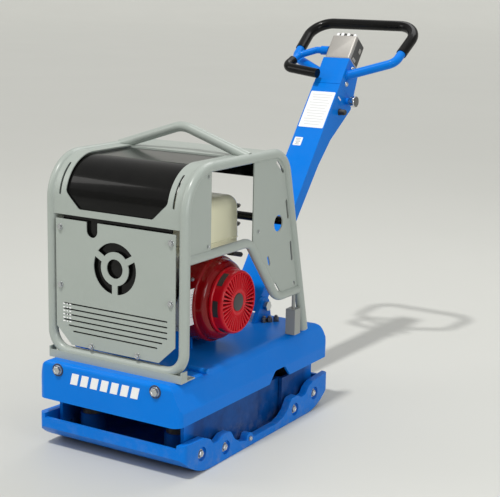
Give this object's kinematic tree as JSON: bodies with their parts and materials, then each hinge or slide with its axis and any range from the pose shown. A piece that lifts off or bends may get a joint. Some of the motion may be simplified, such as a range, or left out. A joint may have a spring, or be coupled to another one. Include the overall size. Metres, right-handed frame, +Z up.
{
  "type": "reversible plate compactor",
  "caption": "Reversible soil compactor: vibrating sole plate, sprung deck, petrol engine in a tube cage, and a tilting steering pole with a handlebar loop.",
  "frame": {"origin": "middle of the flat of the sole, on the ground", "axes": "+X to the right side of the machine (recoil starter side), +Y to the back (steering pole), +Z up"},
  "size_m": [0.5724, 1.7159, 1.325],
  "materials": {
    "blue_paint": "gloss",
    "grey_paint": "satin",
    "black_paint": "high gloss",
    "red_paint": "gloss",
    "cream_plastic": "satin",
    "black_plastic": "matte",
    "zinc_steel": "zinc plated",
    "dark_steel": "oiled",
    "cast_aluminium": "as cast",
    "grey_iron": "as cast",
    "grey_cover": "satin",
    "black_rubber": "matte",
    "chrome": "polished"
  },
  "bodies": {
    "base": {"base_plate": "blue_paint", "left_extension_plate": "blue_paint", "right_extension_plate": "blue_paint", "extension_bolts": "zinc_steel", "exciter_housing": "grey_iron", "exciter_end_covers": "grey_iron", "shaft_bearings": "dark_steel", "shift_cylinder": "dark_steel", "rubber_buffers": "black_rubber"},
    "deck_and_engine": {"deck": "blue_paint", "crankcase": "cast_aluminium", "crankcase_cover": "cast_aluminium", "finned_cylinder": "cast_aluminium", "cylinder_head": "cast_aluminium", "fan_shroud": "red_paint", "recoil_cover": "red_paint", "fuel_tank": "cream_plastic", "air_cleaner": "black_plastic", "muffler": "dark_steel", "belt_guard": "black_paint", "left_side_tube": "grey_paint", "right_side_tube": "grey_paint", "front_tube_and_foot": "grey_paint", "mid_rails": "grey_paint", "left_side_sheets": "grey_paint", "right_side_sheets": "grey_paint", "upper_front_sheet": "grey_paint", "hood_panels": "black_paint", "roof_plate": "grey_paint", "lifting_bar": "grey_paint", "rear_cross_bar": "black_paint", "front_cover": "grey_paint", "frame_bolts": "zinc_steel", "rear_stop_posts": "dark_steel", "pole_pivot_pin": "zinc_steel", "drive_belt": "black_rubber"},
    "crank": {"crankshaft": "dark_steel", "flywheel": "cast_aluminium", "clutch_drum": "grey_iron"},
    "front_exciter_shaft": {"front_eccentric_shaft": "dark_steel", "front_exciter_gear": "dark_steel", "exciter_pulley": "grey_iron"},
    "rear_exciter_shaft": {"rear_eccentric_shaft": "dark_steel", "rear_exciter_gear": "dark_steel"},
    "shift_piston": {"shift_piston": "dark_steel"},
    "pole": {"steering_pole": "blue_paint", "pole_head": "blue_paint", "handlebar": "blue_paint", "handlebar_grip": "black_rubber", "valve_cover": "grey_cover", "hydraulic_valve": "cast_aluminium", "pole_head_bolts": "zinc_steel", "hydraulic_hose": "black_rubber"},
    "travel_lever": {"travel_lever": "blue_paint", "lever_grip": "black_rubber"},
    "locking_knob": {"locking_knob": "chrome"},
    "starter_grip": {"starter_grip": "black_plastic"},
    "fuel_cap": {"fuel_cap": "black_plastic"},
    "engine_switch": {"engine_switch": "black_plastic"},
    "throttle_lever": {"throttle_lever": "zinc_steel"}
  },
  "joints": [
    {"name": "deck_bounce", "type": "slide", "parent": "base", "child": "deck_and_engine", "axis": [0, 0, 1], "range_m": [-0.004, 0.004], "stiffness_N_per_m": 600000, "springref_m": 0.0035, "deforming": ["rubber_buffers", "drive_belt"]},
    {"name": "crank_spin", "type": "hinge", "parent": "deck_and_engine", "child": "crank", "pos_m": [0, -0.04, 0.459], "axis": [1, 0, 0], "continuous": true},
    {"name": "front_exciter_spin", "type": "hinge", "parent": "base", "child": "front_exciter_shaft", "pos_m": [0, -0.052, 0.092], "axis": [1, 0, 0], "continuous": true},
    {"name": "rear_exciter_spin", "type": "hinge", "parent": "base", "child": "rear_exciter_shaft", "pos_m": [0, 0.052, 0.092], "axis": [1, 0, 0], "continuous": true},
    {"name": "travel_lever_swing", "type": "hinge", "parent": "pole", "child": "travel_lever", "pos_m": [-0.058, 1.01676, 1.20729], "axis": [1, 0, 0], "range_deg": [-50, 0]},
    {"name": "shift_piston_slide", "type": "slide", "parent": "base", "child": "shift_piston", "axis": [1, 0, 0], "range_m": [-0.0245, 0.0005]},
    {"name": "pole_tilt", "type": "hinge", "parent": "deck_and_engine", "child": "pole", "pos_m": [0, 0.35, 0.345], "axis": [1, 0, 0], "range_deg": [-40, 37]},
    {"name": "locking_knob_pull", "type": "slide", "parent": "pole", "child": "locking_knob", "axis": [1, 0, 0], "range_m": [0, 0.01], "stiffness_N_per_m": 1200, "springref_m": -0.004},
    {"name": "starter_pull", "type": "slide", "parent": "deck_and_engine", "child": "starter_grip", "axis": [0, 0.9693, -0.2461], "range_m": [0, 0.12], "stiffness_N_per_m": 80, "springref_m": -0.05},
    {"name": "fuel_cap_turn", "type": "hinge", "parent": "deck_and_engine", "child": "fuel_cap", "pos_m": [0.042, -0.082, 0.82], "axis": [0, 0, 1], "range_deg": [0, 90]},
    {"name": "engine_switch_turn", "type": "hinge", "parent": "deck_and_engine", "child": "engine_switch", "pos_m": [0.118, 0.11, 0.459], "axis": [0, 1, 0], "range_deg": [0, 60]},
    {"name": "throttle_swing", "type": "hinge", "parent": "deck_and_engine", "child": "throttle_lever", "pos_m": [-0.006, 0.092, 0.611], "axis": [0, 0, 1], "range_deg": [-25, 25]}
  ],
  "couplings": [
    {"joint": "front_exciter_spin", "follows": "crank_spin", "ratio": 0.91667},
    {"joint": "rear_exciter_spin", "follows": "crank_spin", "ratio": -0.91667},
    {"joint": "shift_piston_slide", "follows": "travel_lever_swing", "m_per_rad": 0.0275}
  ]
}
